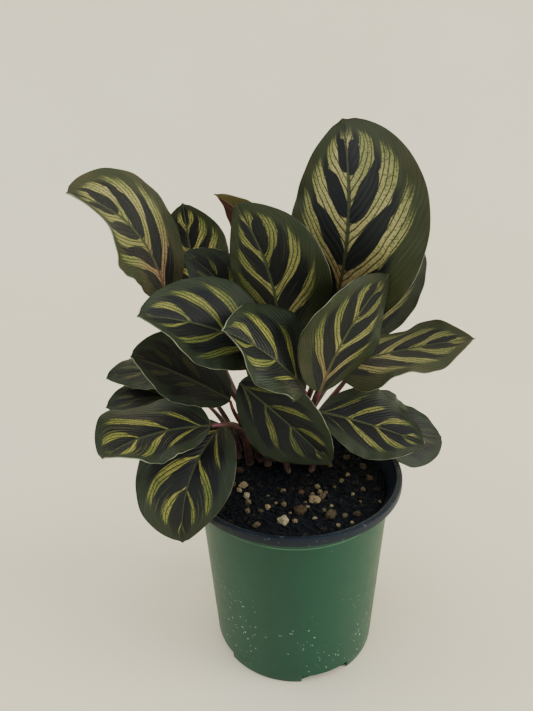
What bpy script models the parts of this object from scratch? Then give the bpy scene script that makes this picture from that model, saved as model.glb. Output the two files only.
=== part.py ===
"""A calathea in a nursery pot: a clump of broad waved leaves on thin stalks, standing in potting mix.

Z is up. The origin is the middle of the pot's underside, and -Y is the side the plant shows.
Sizes and places are in millimetres and angles in degrees, turned to metres where a mesh is made.
"""

import math
import random

import bmesh
import bpy
import numpy as np
from mathutils import Matrix, Vector, noise

MM = 0.001

# Pot: a round tapered tub with a rolled lip and four drainage notches
RIM_RADIUS = 57.0
POT_HEIGHT = 108.5
LIP_DEPTH = 4.3
LIP_WIDTH = 3.3
LIP_ROUND = 0.8
NECK_RADIUS = 54.5
SHOULDER_RADIUS = 50.6
SHOULDER_Z = 100.0
FOOT_RADIUS = 44.6
FOOT_ROUND = 1.0
POT_WALL = 1.5
POT_FLOOR = 2.0
POT_SIDES = 48
NOTCH_COUNT = 4
NOTCH_FIRST_ANGLE = -70.0
NOTCH_WIDTH = 27.0
NOTCH_HEIGHT = 4.5
NOTCH_DEPTH = 4.0

# Soil: fills the pot to a little under its lip
FIT_GAP = 0.3
SOIL_TOP = 100.5
SOIL_DOME = 1.0
SOIL_ROUGHNESS = 0.9
SOIL_LUMP_SIZE = 8.0
SOIL_RINGS = 9
SOIL_SIDES = 36

# Grains: bits of pumice, perlite and bark, the largest placed by x, y and size across
LARGE_GRAINS = [(-7, -35, 5.5), (10, -19, 6.0), (17, -31, 5.6), (2, -27, 6.4), (30, -30, 4.0)]
LOOSE_GRAINS = 15
GRAIN_SIZES = (2.6, 4.4)
GRAIN_SUNK = 0.3
GRAIN_FLATNESS = 0.75
GRAIN_SEED = 11

# Stalks: thin, wrapped in a sheath at the foot and swollen just under the blade
STALK_RADIUS = 1.2
SHEATH_EXTRA = 1.0
SHEATH_LENGTH = 26.0
KNEE_EXTRA = 0.4
KNEE_LENGTH = 10.0
STALK_END_RADIUS = 0.8
STALK_DEPTH = 6.0
STALK_POINTS = 12
STALK_TO_BLADE = 0.9
HOLE_CLEARANCE = 0.4
STUBS = [(-2, 8, 13.0, -8.0), (9, 9, 11.0, 10.0)]
STUB_RADIUS = 1.9

# Blades: pointed ovals, a little fuller toward the point than toward the stalk
BLADE_THICKNESS = 0.8
WIDEST_AT = 0.47
FULL_AT_STALK = 0.60
FULL_AT_POINT = 0.78
CUP = -0.05
WAVES_PER_SIDE = 1.5
BLADE_ROWS = 14
BLADE_COLUMNS = 4

# One entry a leaf. foot: where its stalk enters the soil (x, y). base and tip: the blade's two ends.
# turn: how far the upper face is rolled about the line from base to tip, 0 where it faces the sky.
# arch and sway bow the midrib off that line, fold lifts the two halves, twist turns tip against base.
# lop makes the right half the wider. left and right: height and phase of the ripple along each margin.
# arrive: the direction in which the stalk reaches the blade, else it leans between the blade and up.
# lift: how steeply a stalk without arrive comes up to its blade.
PLAIN_LEAF = dict(arch=0, sway=0, fold=10, twist=0, lop=0, left=(0.8, 0.3), right=(0.8, 0.0), lift=0.9)
LEAF_SHAPES = {
    "01": dict(foot=(-18, 31), base=(-62, 15, 200), tip=(-97, -10, 259), width=59, turn=-48,
               arch=5, sway=12, twist=-37, left=(3.5, 0.85), right=(1.0, 0.25)),
    "02": dict(foot=(-23, 36), base=(-48, 51, 183), tip=(-54, 44, 241), width=43, turn=-112,
               arch=-2, fold=5, twist=5, left=(2.0, 0.4), right=(1.0, 0.95)),
    "03": dict(foot=(-14, 26), base=(-26, 26, 183), tip=(-52, 16, 224), width=31, turn=-75,
               arch=4, sway=3),
    "04": dict(foot=(-9, 31), base=(-14, 28, 195), tip=(-36, 18, 251), width=28, turn=32,
               arch=10, sway=-4, fold=13, left=(1.5, 0.9), right=(2.0, 0.8)),
    "05": dict(foot=(-6, 24), base=(-7, 14, 179), tip=(-26, 8, 249), width=48, turn=-119,
               arch=2, sway=6, fold=6, twist=-16, lop=0.25, left=(0.5, 0.25), right=(3.5, 0.45)),
    "06": dict(foot=(0, 26), base=(22, 25, 188), tip=(26, 46, 280), width=75, turn=-20,
               arch=10, sway=10, fold=16, twist=-4, lop=0.2, left=(3.5, 0.87), right=(2.0, 0.9)),
    "07": dict(foot=(5, 33), base=(44, 46, 164), tip=(65, 76, 214), width=44, turn=-11,
               arch=4, sway=6, fold=11, twist=-9, lop=0.05, left=(1.0, 0.3), right=(1.0, 0.35)),
    "08": dict(foot=(4, 17), base=(12, -15, 163), tip=(44, -3, 217), width=40, turn=92, lop=-0.15,
               arch=2, sway=-5, fold=7, twist=-3, left=(2.5, 0.3), right=(2.0, 0.55),
               arrive=(0.2, -0.45, 0.85)),
    "09": dict(foot=(-11, 20), base=(-13, -9, 180), tip=(-69, -28, 209), width=48, turn=-41,
               arch=1, sway=5, fold=13, twist=-27, lop=0.05, left=(3.0, 0.85), right=(2.0, 0.7)),
    "10": dict(foot=(-5, 18), base=(5, -14, 163), tip=(-32, -36, 205), width=48, turn=-45, lop=0.15,
               arch=2, sway=3, fold=11, twist=-15, left=(4.5, 0.75), right=(3.5, 0.8),
               arrive=(-0.1, -0.4, 0.9)),
    "11": dict(foot=(9, 23), base=(21, 7, 164), tip=(88, -2, 183), width=51, turn=10,
               arch=1, sway=-2, fold=11, twist=18, lop=0.25, left=(5.0, 0.05), right=(5.0, 0.55)),
    "12": dict(foot=(-17, 20), base=(-32, -2, 152), tip=(-76, -18, 185), width=41, turn=-34, lop=0.1,
               arch=-3, sway=5, fold=8, twist=9, left=(1.5, 0.75), right=(1.5, 0.25),
               arrive=(-0.1, -0.3, 0.95)),
    "13": dict(foot=(-29, 29), base=(-51, 36, 140), tip=(-100, 26, 151), width=35, turn=-14,
               arch=5, sway=3, fold=8, left=(1.5, 0.55), right=(2.5, 0.7)),
    "14": dict(foot=(-29, 22), base=(-48, 26, 135), tip=(-99, 14, 140), width=37, turn=-15,
               arch=4, sway=2, left=(1.0, 0.3), right=(2.0, 0.7)),
    "15": dict(foot=(-23, 18), base=(-41, -20, 148), tip=(-86, -52, 152), width=44, turn=-13,
               arch=-3, sway=9, fold=5, twist=-14, lop=0.1, left=(2.5, 0.75), right=(5.0, 0.1),
               lift=0.1),
    "16": dict(foot=(-22, 25), base=(-36, -5, 139), tip=(-56, -41, 95), width=50, turn=-19,
               arch=11, sway=5, fold=17, twist=10, lop=0.1, left=(0.5, 0.25), right=(5.0, 0.0)),
    "17": dict(foot=(-13, 14), base=(-27, 3, 159), tip=(18, -19, 124), width=42, turn=81, lop=0.05,
               arch=4, sway=-3, twist=-7, left=(0.8, 0.2), right=(0.8, 0.4),
               arrive=(-0.1, -0.55, 0.82)),
    "18": dict(foot=(10, 17), base=(13, -2, 144), tip=(67, -6, 126), width=39, turn=35,
               arch=1, sway=-1, twist=-4, left=(2.5, 0.7), right=(1.5, 0.1),
               arrive=(0.35, -0.3, 0.9)),
    "19": dict(foot=(12, 33), base=(38, 27, 138), tip=(87, 35, 104), width=43, turn=30,
               sway=7, fold=6, lop=0.15, left=(3.0, 0.95), right=(2.0, 0.85)),
    "20": dict(foot=(-15, 37), base=(-28, 62, 158), tip=(-42, 106, 194), width=38, turn=0,
               arch=5, fold=12),
    "21": dict(foot=(-6, 38), base=(4, 66, 160), tip=(14, 113, 188), width=40, turn=0,
               arch=6, fold=12),
    "22": dict(foot=(2, 40), base=(33, 69, 138), tip=(62, 108, 134), width=36, turn=0,
               arch=8, fold=10),
}
LEAVES = {number: {**PLAIN_LEAF, **shape} for number, shape in LEAF_SHAPES.items()}

for old in list(bpy.data.objects):
    bpy.data.objects.remove(old)

plant = bpy.data.collections.new("potted_calathea")
cutters = bpy.data.collections.new("cutters")
bpy.context.scene.collection.children.link(plant)
bpy.context.scene.collection.children.link(cutters)


def material(name, color, roughness):
    """A plain plastic, earth or leaf finish."""
    finish = bpy.data.materials.new(name)
    finish.use_nodes = True
    shader = finish.node_tree.nodes["Principled BSDF"]
    shader.inputs["Base Color"].default_value = (*color, 1.0)
    shader.inputs["Roughness"].default_value = roughness
    shader.inputs["Metallic"].default_value = 0.0
    return finish


POT_PLASTIC = material("pot_plastic", (0.05, 0.13, 0.07), 0.35)
POTTING_MIX = material("potting_mix", (0.02, 0.017, 0.014), 0.95)
LEAF_TISSUE = material("leaf_tissue", (0.05, 0.09, 0.03), 0.45)
STALK_SKIN = material("stalk_skin", (0.15, 0.03, 0.03), 0.5)


def add(name, mesh, finish, collection=plant):
    """Put a mesh in the scene as a named piece."""
    piece = bpy.data.objects.new(name, mesh)
    piece.data.materials.append(finish)
    collection.objects.link(piece)
    return piece


def as_cutter(piece):
    piece.hide_render = True
    piece.display_type = "WIRE"
    return piece


def mesh_of(shape, name):
    """Turn an edited shape into a mesh and let it go."""
    mesh = bpy.data.meshes.new(name)
    shape.to_mesh(mesh)
    shape.free()
    return mesh


def turned(name, profile, sides, finish):
    """A profile of (radius, height) points turned about the pot's axis."""
    mesh = bpy.data.meshes.new(name)
    points = [(radius * MM, 0.0, height * MM) for radius, height in profile]
    mesh.from_pydata(points, [(i, i + 1) for i in range(len(points) - 1)], [])
    piece = add(name, mesh, finish)
    turn = piece.modifiers.new("turn", "SCREW")
    turn.steps = sides
    turn.render_steps = sides
    turn.use_merge_vertices = True
    turn.merge_threshold = 0.00001
    turn.use_smooth_shade = True
    return piece


def boolean(piece, other, operation):
    cut = piece.modifiers.new(operation.lower(), "BOOLEAN")
    cut.operation = operation
    cut.solver = "EXACT"
    cut.object = other


def inner_wall_radius(height):
    """The pot's inside radius at a height below its shoulder."""
    share = height / SHOULDER_Z
    return FOOT_RADIUS + (SHOULDER_RADIUS - FOOT_RADIUS) * share - POT_WALL


def make_pot():
    lip_under = POT_HEIGHT - LIP_DEPTH
    lip_inside = RIM_RADIUS - LIP_WIDTH
    profile = [
        (0.0, POT_FLOOR),
        (inner_wall_radius(POT_FLOOR), POT_FLOOR),
        (SHOULDER_RADIUS - POT_WALL, SHOULDER_Z),
        (NECK_RADIUS - POT_WALL, lip_under),
        (lip_inside, POT_HEIGHT - LIP_ROUND),
        (lip_inside + LIP_ROUND, POT_HEIGHT),
        (RIM_RADIUS - LIP_ROUND, POT_HEIGHT),
        (RIM_RADIUS, POT_HEIGHT - LIP_ROUND),
        (RIM_RADIUS, lip_under),
        (NECK_RADIUS, lip_under),
        (SHOULDER_RADIUS, SHOULDER_Z),
        (FOOT_RADIUS, FOOT_ROUND),
        (FOOT_RADIUS - FOOT_ROUND, 0.0),
        (0.0, 0.0),
    ]
    pot = turned("pot", profile, POT_SIDES, POT_PLASTIC)
    notches = bmesh.new()
    reach = FOOT_RADIUS + NOTCH_DEPTH
    for i in range(NOTCH_COUNT):
        angle = math.radians(NOTCH_FIRST_ANGLE + 360.0 * i / NOTCH_COUNT - 90.0)
        place = (
            Matrix.Rotation(angle, 4, "Z")
            @ Matrix.Translation((reach * MM, 0.0, 0.0))
            @ Matrix.Diagonal((4 * NOTCH_DEPTH * MM, NOTCH_WIDTH * MM, 2 * NOTCH_HEIGHT * MM, 1.0))
        )
        bmesh.ops.create_cube(notches, size=1.0, matrix=place)
    cutter = as_cutter(add("notch_cutter", mesh_of(notches, "notch_cutter"), POT_PLASTIC, cutters))
    boolean(pot, cutter, "DIFFERENCE")


def soil_height(x, y):
    """How high the soil stands at a place, in millimetres."""
    out = math.hypot(x, y) / SHOULDER_RADIUS
    lump = noise.noise(Vector((x / SOIL_LUMP_SIZE, y / SOIL_LUMP_SIZE, 0.0)))
    return SOIL_TOP + SOIL_DOME * (1 - out * out) + SOIL_ROUGHNESS * lump * (1 - out ** 6)


def grain_places():
    """The grains that show, then loose ones scattered clear of the stalks and of each other."""
    feet = [leaf["foot"] for leaf in LEAVES.values()] + [stub[:2] for stub in STUBS]
    draw = random.Random(GRAIN_SEED)
    grains = list(LARGE_GRAINS)
    reach = inner_wall_radius(SOIL_TOP) - 2 * GRAIN_SIZES[1]
    while len(grains) < len(LARGE_GRAINS) + LOOSE_GRAINS:
        angle = draw.uniform(0.0, 2 * math.pi)
        out = reach * math.sqrt(draw.random())
        x = out * math.cos(angle)
        y = out * math.sin(angle)
        size = draw.uniform(*GRAIN_SIZES)
        off_stalks = all(math.dist((x, y), foot) > size / 2 + 3.5 for foot in feet)
        off_grains = all(math.dist((x, y), grain[:2]) > (size + grain[2]) / 2 + 1.0 for grain in grains)
        if off_stalks and off_grains:
            grains.append((x, y, size))
    return grains


def soil_plug():
    """The mix without grains or holes: a turned plug with an uneven top."""
    bottom = POT_FLOOR + FIT_GAP
    edge = inner_wall_radius(SOIL_TOP - SOIL_ROUGHNESS) - FIT_GAP
    profile = [(edge * i / SOIL_RINGS, SOIL_TOP) for i in range(SOIL_RINGS + 1)]
    profile += [(inner_wall_radius(bottom) - FIT_GAP, bottom), (0.0, bottom)]
    plug = turned("plug", profile, SOIL_SIDES, POTTING_MIX)
    made = plug.evaluated_get(bpy.context.evaluated_depsgraph_get())
    mesh = bpy.data.meshes.new_from_object(made)
    bpy.data.objects.remove(plug)
    for vertex in mesh.vertices:
        if vertex.co.z > (SOIL_TOP - 1.0) * MM:
            vertex.co.z = soil_height(vertex.co.x / MM, vertex.co.y / MM) * MM
    return mesh


def grain_lumps():
    """Flattened, tilted lumps, each sunk a little into the mix."""
    draw = random.Random(GRAIN_SEED)
    lumps = bmesh.new()
    for x, y, size in grain_places():
        height = soil_height(x, y) + (0.5 - GRAIN_SUNK) * GRAIN_FLATNESS * size
        spin = Matrix.Rotation(draw.uniform(0.0, math.pi), 4, "Z")
        tilt = Matrix.Rotation(draw.uniform(-0.4, 0.4), 4, "X")
        shape = Matrix.Diagonal((1.0, draw.uniform(0.7, 0.95), GRAIN_FLATNESS, 1.0))
        place = Matrix.Translation(Vector((x, y, height)) * MM) @ spin @ tilt @ shape
        bmesh.ops.create_icosphere(lumps, subdivisions=1, radius=size / 2 * MM, matrix=place)
    return mesh_of(lumps, "grain_lumps")


def stalk_holes():
    """A plain hole for each stalk and stub."""
    holes = bmesh.new()
    for leaf in LEAVES.values():
        path, radius = stalk_run(leaf)
        add_hole(holes, path[0], path[1] - path[0], radius[0])
    for x, y, height, lean in STUBS:
        path = stub_run(x, y, height, lean)
        add_hole(holes, path[0], path[1] - path[0], STUB_RADIUS)
    return mesh_of(holes, "stalk_holes")


def make_soil():
    soil = add("soil", soil_plug(), POTTING_MIX)
    boolean(soil, as_cutter(add("grain_lumps", grain_lumps(), POTTING_MIX, cutters)), "UNION")
    boolean(soil, as_cutter(add("stalk_holes", stalk_holes(), POTTING_MIX, cutters)), "DIFFERENCE")


def add_hole(holes, foot, direction, stalk_radius):
    """A plain slanted hole, a little wider than the stalk that stands in it."""
    along = Vector(direction).normalized()
    depth = 3 * STALK_DEPTH
    middle = (Vector(foot) - HOLE_CLEARANCE * along + depth / 2 * along) * MM
    place = Matrix.Translation(middle) @ along.to_track_quat("Z", "Y").to_matrix().to_4x4()
    width = (stalk_radius + HOLE_CLEARANCE) * MM
    bmesh.ops.create_cone(
        holes, cap_ends=True, segments=8, radius1=width, radius2=width, depth=depth * MM, matrix=place
    )


def unit(vectors):
    return vectors / np.linalg.norm(vectors, axis=-1, keepdims=True)


def blade_axes(leaf):
    """Unit vectors along the blade's chord, out of its upper face, and to its right."""
    chord = unit(np.subtract(leaf["tip"], leaf["base"]).astype(float))
    sky = unit(np.array((0.0, 0.0, 1.0)) - chord[2] * chord)
    side = np.cross(chord, sky)
    turn = math.radians(leaf["turn"])
    face = sky * math.cos(turn) + side * math.sin(turn)
    return chord, face, np.cross(chord, face)


def midrib(leaf, along):
    """Points of the midrib, from 0 at the stalk to 1 at the blade's point."""
    chord, face, side = blade_axes(leaf)
    base = np.array(leaf["base"], float)
    bow = 4 * along * (1 - along)
    line = base + np.outer(along, np.subtract(leaf["tip"], base))
    return line + np.outer(leaf["arch"] * bow, face) + np.outer(leaf["sway"] * bow, side)


def half_width(leaf, along):
    """Half the blade's width along it: a pointed oval."""
    fullness = FULL_AT_STALK + (FULL_AT_POINT - FULL_AT_STALK) * along
    swell = np.sin(math.pi * along ** (math.log(0.5) / math.log(WIDEST_AT)))
    return leaf["width"] / 2 * np.clip(swell, 0.0, 1.0) ** fullness


def blade_surface(leaf, along, across):
    """Points of the blade's middle sheet. across runs from -1 at the left margin to 1 at the right."""
    chord, face, side = blade_axes(leaf)
    step = 0.001
    heading = unit(midrib(leaf, along + step) - midrib(leaf, along - step))
    level = unit(side - (heading @ side)[:, None] * heading)
    normal = np.cross(level, heading)
    twist = (np.radians(leaf["twist"]) * (along - 0.5))[:, None]
    right = level * np.cos(twist) + normal * np.sin(twist)
    up = normal * np.cos(twist) - level * np.sin(twist)
    hand = np.sign(across)
    reach = np.abs(across) * half_width(leaf, along) * (1 + leaf["lop"] * hand)
    height = np.where(across > 0, leaf["right"][0], leaf["left"][0])
    phase = np.where(across > 0, leaf["right"][1], leaf["left"][1])
    swell = np.sqrt(np.clip(np.sin(math.pi * along), 0.0, 1.0))
    ripple = height * across ** 2 * swell * np.sin(2 * math.pi * (WAVES_PER_SIDE * along + phase))
    fold = math.radians(leaf["fold"])
    rise = reach * math.sin(fold) + CUP * reach * np.abs(across) + ripple
    run = hand * reach * math.cos(fold)
    return midrib(leaf, along) + right * run[:, None] + up * rise[:, None]


def make_blade(name, leaf):
    """A waved sheet, split into triangles before it gets its thickness, so both faces split alike."""
    sheet = bmesh.new()
    bmesh.ops.create_grid(sheet, x_segments=BLADE_ROWS, y_segments=BLADE_COLUMNS, size=1.0)
    grid = np.array([vertex.co[:] for vertex in sheet.verts])
    along = 0.5 - 0.5 * np.cos(math.pi * (grid[:, 0] + 1) / 2)
    for vertex, point in zip(sheet.verts, blade_surface(leaf, along, grid[:, 1])):
        vertex.co = point * MM
    bmesh.ops.remove_doubles(sheet, verts=sheet.verts, dist=0.00001)
    bmesh.ops.triangulate(sheet, faces=sheet.faces)
    blade = add(name, mesh_of(sheet, name), LEAF_TISSUE)
    blade.data.shade_smooth()
    wall = blade.modifiers.new("thickness", "SOLIDIFY")
    wall.thickness = BLADE_THICKNESS * MM
    wall.offset = 0.0


def stalk_run(leaf):
    """The stalk's centre line and its radius at each point, from the buried foot to the blade."""
    chord = blade_axes(leaf)[0]
    arrive = unit(np.array(leaf.get("arrive", chord + (0.0, 0.0, leaf["lift"]))))
    foot = np.array((*leaf["foot"], SOIL_TOP - STALK_DEPTH))
    top = np.array(leaf["base"], float) - STALK_TO_BLADE * arrive
    span = top - foot
    rising = foot + span * (0.12, 0.12, 0.45)
    arriving = top - 0.3 * np.linalg.norm(span) * arrive
    t = np.linspace(0.0, 1.0, STALK_POINTS)[:, None]
    path = (1 - t) ** 3 * foot + 3 * t * (1 - t) ** 2 * rising
    path += 3 * t ** 2 * (1 - t) * arriving + t ** 3 * top
    run = np.concatenate(([0.0], np.cumsum(np.linalg.norm(np.diff(path, axis=0), axis=1))))
    sheath = SHEATH_EXTRA * np.clip(1 - (run - STALK_DEPTH) / SHEATH_LENGTH, 0.0, 1.0)
    knee = KNEE_EXTRA * np.clip(1 - np.abs(run[-1] - run - KNEE_LENGTH / 2) / (KNEE_LENGTH / 2), 0.0, 1.0)
    radius = STALK_RADIUS + sheath + knee
    radius[-1] = STALK_END_RADIUS
    return path, radius


def stub_run(x, y, height, lean):
    """A straight cut stalk that leans sideways."""
    foot = np.array((x, y, SOIL_TOP - STALK_DEPTH))
    along = np.array((math.sin(math.radians(lean)), 0.0, math.cos(math.radians(lean))))
    return np.array((foot, foot + (STALK_DEPTH + height) * along))


def make_tube(name, path, radius):
    curve = bpy.data.curves.new(name, "CURVE")
    curve.dimensions = "3D"
    curve.bevel_depth = MM
    curve.bevel_resolution = 1
    curve.use_fill_caps = True
    line = curve.splines.new("POLY")
    line.points.add(len(path) - 1)
    for point, place, width in zip(line.points, path, radius):
        point.co = (*(place * MM), 1.0)
        point.radius = width
    tube = bpy.data.objects.new(name, curve)
    curve.materials.append(STALK_SKIN)
    plant.objects.link(tube)


make_pot()
make_soil()
for number, leaf in LEAVES.items():
    make_blade("blade_" + number, leaf)
    make_tube("stalk_" + number, *stalk_run(leaf))
for number, (x, y, height, lean) in enumerate(STUBS, 1):
    make_tube(f"stub_{number:02d}", stub_run(x, y, height, lean), (STUB_RADIUS, STUB_RADIUS))
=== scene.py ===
import math
import random
from types import SimpleNamespace

import bmesh
import bpy
import numpy as np
from mathutils import Matrix, Vector, noise


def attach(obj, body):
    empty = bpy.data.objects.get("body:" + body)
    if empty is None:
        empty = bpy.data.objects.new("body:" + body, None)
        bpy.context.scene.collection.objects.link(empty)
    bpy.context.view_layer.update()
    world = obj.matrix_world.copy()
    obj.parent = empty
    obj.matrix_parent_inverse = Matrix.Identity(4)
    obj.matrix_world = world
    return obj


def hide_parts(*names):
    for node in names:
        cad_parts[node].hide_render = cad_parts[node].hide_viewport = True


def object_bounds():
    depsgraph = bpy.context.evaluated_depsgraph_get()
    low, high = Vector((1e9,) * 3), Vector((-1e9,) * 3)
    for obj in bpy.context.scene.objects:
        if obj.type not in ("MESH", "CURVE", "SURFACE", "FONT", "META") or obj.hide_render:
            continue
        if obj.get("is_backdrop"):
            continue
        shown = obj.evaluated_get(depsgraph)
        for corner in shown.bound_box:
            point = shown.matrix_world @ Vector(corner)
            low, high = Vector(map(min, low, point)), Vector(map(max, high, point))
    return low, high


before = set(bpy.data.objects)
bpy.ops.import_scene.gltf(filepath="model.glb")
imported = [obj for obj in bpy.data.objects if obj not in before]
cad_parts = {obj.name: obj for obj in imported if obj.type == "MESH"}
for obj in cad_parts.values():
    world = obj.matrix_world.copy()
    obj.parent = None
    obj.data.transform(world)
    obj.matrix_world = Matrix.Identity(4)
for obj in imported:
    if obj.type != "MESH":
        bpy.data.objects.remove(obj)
cad_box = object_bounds()


# THE POT
# A thin round nursery pot, pressed from sheet that is green outside and near black inside.
# Its lip is rolled over, with a step under it, and four drainage notches open at its foot.
# As in all sections but the last, sizes are in millimetres, and MM makes metres of them.

MM = 0.001
RIM_RADIUS = 57.0
POT_HEIGHT = 108.5
LIP_DEPTH = 4.3
LIP_WIDTH = 3.3
NECK_RADIUS = 54.5
SHOULDER_RADIUS = 50.6
SHOULDER_Z = 100.0
FOOT_RADIUS = 44.6
POT_WALL = 1.5
POT_FLOOR = 2.0
GREEN_DEPTH = 0.8
NOTCH_ANGLES = (-160.0, -70.0, 20.0, 110.0)
NOTCH_WIDTH = 27.0
NOTCH_HEIGHT = 4.5
NOTCH_DEPTH = 4.0


class Wire:
    """A number in a node tree. Arithmetic on it adds the math nodes for it.

    A comparison gives 1 where it holds and 0 elsewhere.
    """

    def __init__(self, tree, socket):
        self.tree = tree
        self.socket = socket

    def __add__(self, other):
        return reckon(self.tree, "ADD", self, other)

    def __sub__(self, other):
        return reckon(self.tree, "SUBTRACT", self, other)

    def __rsub__(self, other):
        return reckon(self.tree, "SUBTRACT", other, self)

    def __mul__(self, other):
        return reckon(self.tree, "MULTIPLY", self, other)

    def __truediv__(self, other):
        return reckon(self.tree, "DIVIDE", self, other)

    def __pow__(self, other):
        return reckon(self.tree, "POWER", self, other)

    def __lt__(self, other):
        return reckon(self.tree, "LESS_THAN", self, other)

    def __gt__(self, other):
        return reckon(self.tree, "GREATER_THAN", self, other)

    def __abs__(self):
        return reckon(self.tree, "ABSOLUTE", self)

    __radd__ = __add__


def feed(tree, socket, value):
    """Link a wire to a socket, or set the socket's own value."""
    if hasattr(value, "socket"):
        tree.links.new(value.socket, socket)
    else:
        socket.default_value = value


def step(tree, kind, inputs=None, output=0, **settings):
    """Add a node, set it, feed its inputs, and give back the wire that leaves it.

    A socket is given by its title, or by its number where several share one.
    """
    node = tree.nodes.new(kind)
    for name, value in settings.items():
        setattr(node, name, value)
    for socket, value in (inputs or {}).items():
        feed(tree, node.inputs[socket], value)
    return Wire(tree, node.outputs[output])


def reckon(tree, operation, *values):
    """One math node on wires and plain numbers."""
    return step(tree, "ShaderNodeMath", dict(enumerate(values)), operation=operation)


def at_least(value, low):
    return reckon(value.tree, "MAXIMUM", value, low)


def at_most(value, high):
    return reckon(value.tree, "MINIMUM", value, high)


def root(value):
    return reckon(value.tree, "SQRT", value)


def ease(value, low, high):
    """0 below low, 1 above high, and smooth between them. low may be the larger."""
    inputs = {"Value": value, "From Min": low, "From Max": high}
    return step(value.tree, "ShaderNodeMapRange", inputs, interpolation_type="SMOOTHSTEP")


def blend(amount, low, high):
    """One colour turning into another as amount goes from 0 to 1."""
    inputs = {"Factor": amount, 6: low, 7: high}
    return step(amount.tree, "ShaderNodeMix", inputs, output=2, data_type="RGBA")


def clouds(place, scale, detail=2.0, roughness=0.5):
    """Soft noise between 0 and 1, mostly near a half."""
    inputs = {"Vector": place, "Scale": scale, "Detail": detail, "Roughness": roughness}
    return step(place.tree, "ShaderNodeTexNoise", inputs)


def stretched(place, scale):
    """A place with its axes scaled, for a pattern that is longer one way."""
    return step(place.tree, "ShaderNodeMapping", {"Vector": place, "Scale": scale})


def hue(red, green, blue):
    """A colour as picked on a screen, from 0 to 255, made linear."""
    parts = [channel / 255 for channel in (red, green, blue)]
    linear = [c / 12.92 if c <= 0.04045 else ((c + 0.055) / 1.055) ** 2.4 for c in parts]
    return (*linear, 1.0)


def blank_finish(name):
    """A material with only its surface shader, and its tree."""
    finish = bpy.data.materials.new(name)
    finish.use_nodes = True
    return finish, finish.node_tree


def coated(finish, color, roughness, specular=0.5, height=None, depth=0.0, strength=1.0):
    """Feed a material's surface. Where height is 1, a bump lifts it by a depth in millimetres."""
    tree = finish.node_tree
    inputs = tree.nodes["Principled BSDF"].inputs
    feed(tree, inputs["Base Color"], color)
    feed(tree, inputs["Roughness"], roughness)
    inputs["Specular IOR Level"].default_value = specular
    if height:
        bump = {"Height": height, "Distance": depth * MM, "Strength": strength}
        feed(tree, inputs["Normal"], step(tree, "ShaderNodeBump", bump))
    return finish


def place_of(tree):
    """The place on the piece, in metres."""
    return step(tree, "ShaderNodeTexCoord", output="Object")


def split(vector):
    """The three parts of a vector wire."""
    node = vector.tree.nodes.new("ShaderNodeSeparateXYZ")
    feed(vector.tree, node.inputs[0], vector)
    return [Wire(vector.tree, output) for output in node.outputs]


def joined(tree, x, y, z):
    """Three numbers as one vector wire."""
    return step(tree, "ShaderNodeCombineXYZ", {0: x, 1: y, 2: z})


def dark_zone(place):
    """1 on the pot's blue-black inside and lip, and 0 on its green outside."""
    x, y, z = split(place)
    radius = root(x * x + y * y)
    wall = z * ((SHOULDER_RADIUS - FOOT_RADIUS) / SHOULDER_Z) + (FOOT_RADIUS - GREEN_DEPTH) * MM
    inside = (radius < wall) * (z > 1.0 * MM)
    lip = z > (POT_HEIGHT - LIP_DEPTH + 0.05) * MM
    spread = (NECK_RADIUS - SHOULDER_RADIUS) / (POT_HEIGHT - LIP_DEPTH - SHOULDER_Z)
    neck_wall = (z - SHOULDER_Z * MM) * spread + (SHOULDER_RADIUS - GREEN_DEPTH) * MM
    neck_inside = (z > SHOULDER_Z * MM) * (radius < neck_wall)
    return at_least(inside, at_least(lip, neck_inside))


def pot_finish():
    """Satin plastic in two colours.

    Pale specks cling low down, and rubbing has left pale streaks. Two pale lines under the step are
    painted highlights where its edges catch the light.
    """
    finish, tree = blank_finish("pot_plastic")
    place = place_of(tree)
    z = split(place)[2]
    drift = clouds(stretched(place, (14.0, 14.0, 5.0)), 1.0, 3.0)
    green = blend(ease(drift, 0.3, 0.7), hue(6, 60, 43), hue(12, 69, 51))
    black = blend(ease(drift, 0.3, 0.7), hue(8, 18, 28), hue(18, 31, 44))

    grit = clouds(place, 560.0, 1.0)
    patches = clouds(place, 45.0, 3.0)
    low = ease(z, 75.0 * MM, 20.0 * MM) * ease(patches, 0.47, 0.62)
    specks = ease(grit, 0.69, 0.72) * low
    rub = clouds(stretched(place, (260.0, 260.0, 1100.0)), 1.0, 2.0)
    rubs = ease(rub, 0.72, 0.8) * ease(patches, 0.52, 0.66)
    marks = at_least(specks, rubs * 0.45)
    # Painted highlights: two pale lines just under the step, where its edges catch the light.
    upper_line = ease(abs(z - (SHOULDER_Z - 0.6) * MM), 0.4 * MM, 0.1 * MM)
    lower_line = ease(abs(z - (SHOULDER_Z - 2.8) * MM), 0.5 * MM, 0.1 * MM)
    painted_step_highlight = upper_line * 0.5 + lower_line * ease(patches, 0.3, 0.6)
    green = blend(painted_step_highlight * 0.35, green, hue(110, 160, 124))
    dusty = blend(marks, green, hue(176, 192, 172))
    dust_on_lip = ease(clouds(place, 520.0, 3.0), 0.62, 0.75) * 0.5
    lip_color = blend(dust_on_lip, black, hue(92, 100, 104))
    color = blend(dark_zone(place), dusty, lip_color)

    worn = clouds(place, 160.0, 4.0)
    roughness = marks * 0.2 + worn * 0.14 + 0.36
    ripple = clouds(stretched(place, (60.0, 60.0, 9.0)), 1.0, 2.0)
    height = ripple + clouds(place, 1500.0, 2.0) * 0.05 + rubs * 0.1 + painted_step_highlight * 0.3
    return coated(finish, color, roughness, 0.26, height, 0.4, 0.35)


def plain_copy(made, name):
    """What an object looks like with its modifiers, as a plain mesh. The object goes."""
    made = made.evaluated_get(bpy.context.evaluated_depsgraph_get())
    mesh = bpy.data.meshes.new_from_object(made)
    bpy.data.objects.remove(made.original)
    mesh.name = name
    return mesh


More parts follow.
